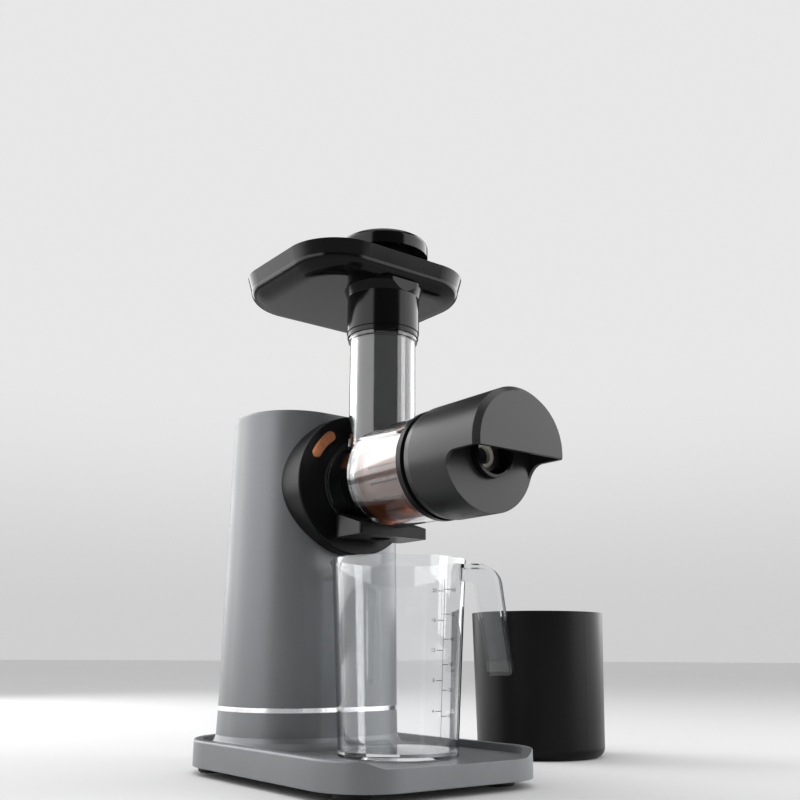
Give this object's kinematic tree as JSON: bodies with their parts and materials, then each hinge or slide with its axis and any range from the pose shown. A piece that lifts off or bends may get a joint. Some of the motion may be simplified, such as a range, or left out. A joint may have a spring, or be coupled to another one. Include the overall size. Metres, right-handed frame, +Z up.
{
  "type": "cold press juicer",
  "caption": "Horizontal cold press juicer: grey motor tower, clear drum with chute and tray, hooded end cap, clear jug and black pulp container.",
  "frame": {"origin": "on the worktop, below the centre of the outer box round the juicer and its pulp container", "axes": "+X along the drum axis from the tower to the end cap, +Z up, +Y towards the pulp container"},
  "size_m": [0.3196, 0.3868, 0.413],
  "materials": {
    "grey_shell": "satin grey",
    "black_satin": "satin black",
    "dark_cap": "satin dark grey",
    "black_gloss": "gloss black",
    "bright_trim": "bright",
    "copper": "satin copper",
    "clear": "clear",
    "amber": "amber",
    "rubber": "matt",
    "steel": "machined",
    "nylon": "natural nylon",
    "magnet": "matt",
    "board": "board",
    "auger_plastic": "satin black"
  },
  "bodies": {
    "base": {"base_tray": "grey_shell", "base_cover": "black_satin", "rubber_feet": "rubber", "cover_screws": "steel", "tower_plinth": "grey_shell", "trim_band": "bright_trim", "tower_housing": "grey_shell", "top_panel": "grey_shell", "control_plate": "black_gloss", "control_board": "board", "cord_gland": "rubber", "boss_housing": "black_satin", "bayonet_socket": "black_satin", "release_spring": "steel", "motor_bracket": "steel", "bracket_screws": "steel", "motor_can": "steel", "motor_end_bell": "nylon", "motor_magnets": "magnet", "gearbox_housing": "nylon", "ring_gear": "nylon", "output_bearing": "steel", "shaft_seal": "rubber"},
    "drive": {"planet_carrier": "steel", "drive_hex": "steel", "auger": "auger_plastic", "auger_insert": "steel"},
    "rotor": {"motor_rotor": "steel", "cooling_fan": "nylon", "sun_pinion": "steel"},
    "planet_1": {"planet_gear_1": "nylon"},
    "planet_2": {"planet_gear_2": "nylon"},
    "planet_3": {"planet_gear_3": "nylon"},
    "drum": {"drum_hub": "black_satin", "drum_cover": "clear", "drum_seal": "rubber", "drum_lock_ring": "black_satin", "juice_filter": "amber", "spout_block": "black_satin", "chute_ring": "black_gloss", "cap_gasket": "rubber"},
    "cap": {"end_cap": "dark_cap", "pulp_nozzle": "black_gloss", "auger_tip_bush": "nylon"},
    "tray": {"feed_tray": "black_gloss"},
    "pusher": {"pusher_body": "black_gloss", "pusher_cap": "black_gloss"},
    "jug": {"juice_jug": "clear"},
    "pulp_bin": {"pulp_container": "black_satin"},
    "release": {"release_button": "copper", "latch_arm": "nylon"},
    "start": {"start_button": "black_gloss"},
    "reverse": {"reverse_button": "black_gloss"}
  },
  "joints": [
    {"name": "auger_spin", "type": "hinge", "parent": "base", "child": "drive", "pos_m": [-0.0628, -0.1054, 0.2176], "axis": [1, 0, 0], "continuous": true},
    {"name": "motor_spin", "type": "hinge", "parent": "base", "child": "rotor", "pos_m": [-0.1318, -0.1054, 0.2176], "axis": [1, 0, 0], "continuous": true},
    {"name": "planet_spin_1", "type": "hinge", "parent": "drive", "child": "planet_1", "pos_m": [-0.0738, -0.1054, 0.23459], "axis": [1, 0, 0], "continuous": true},
    {"name": "planet_spin_2", "type": "hinge", "parent": "drive", "child": "planet_2", "pos_m": [-0.0738, -0.12012, 0.2091], "axis": [1, 0, 0], "continuous": true},
    {"name": "planet_spin_3", "type": "hinge", "parent": "drive", "child": "planet_3", "pos_m": [-0.0738, -0.09068, 0.2091], "axis": [1, 0, 0], "continuous": true},
    {"name": "drum_twist", "type": "hinge", "parent": "base", "child": "drum", "pos_m": [-0.0244, -0.1054, 0.2176], "axis": [1, 0, 0], "range_deg": [0, 30]},
    {"name": "cap_twist", "type": "hinge", "parent": "drum", "child": "cap", "pos_m": [0.0818, -0.1054, 0.2176], "axis": [1, 0, 0], "range_deg": [0, 25]},
    {"name": "tray_lift", "type": "slide", "parent": "drum", "child": "tray", "axis": [0, 0, 1], "range_m": [0, 0.06]},
    {"name": "pusher_lift", "type": "slide", "parent": "tray", "child": "pusher", "axis": [0, 0, 1], "range_m": [0, 0.155]},
    {"name": "jug_slide", "type": "slide", "parent": "base", "child": "jug", "axis": [1, 0, 0], "range_m": [0, 0.19]},
    {"name": "pulp_container_lift", "type": "slide", "parent": "base", "child": "pulp_bin", "axis": [0, 0, 1], "range_m": [0, 0.15]},
    {"name": "release_press", "type": "slide", "parent": "base", "child": "release", "axis": [-1, 0, 0], "range_m": [0, 0.003], "stiffness_N_per_m": 900, "springref_m": -0.001, "deforming": ["release_spring"]},
    {"name": "start_press", "type": "slide", "parent": "base", "child": "start", "axis": [0, 0, -1], "range_m": [0, 0.0012], "stiffness_N_per_m": 800, "springref_m": -0.0005},
    {"name": "reverse_press", "type": "slide", "parent": "base", "child": "reverse", "axis": [0, 0, -1], "range_m": [0, 0.0012], "stiffness_N_per_m": 800, "springref_m": -0.0005}
  ],
  "couplings": [
    {"joint": "motor_spin", "follows": "auger_spin", "ratio": 4.5},
    {"joint": "planet_spin_1", "follows": "auger_spin", "ratio": -2.8},
    {"joint": "planet_spin_2", "follows": "auger_spin", "ratio": -2.8},
    {"joint": "planet_spin_3", "follows": "auger_spin", "ratio": -2.8}
  ]
}
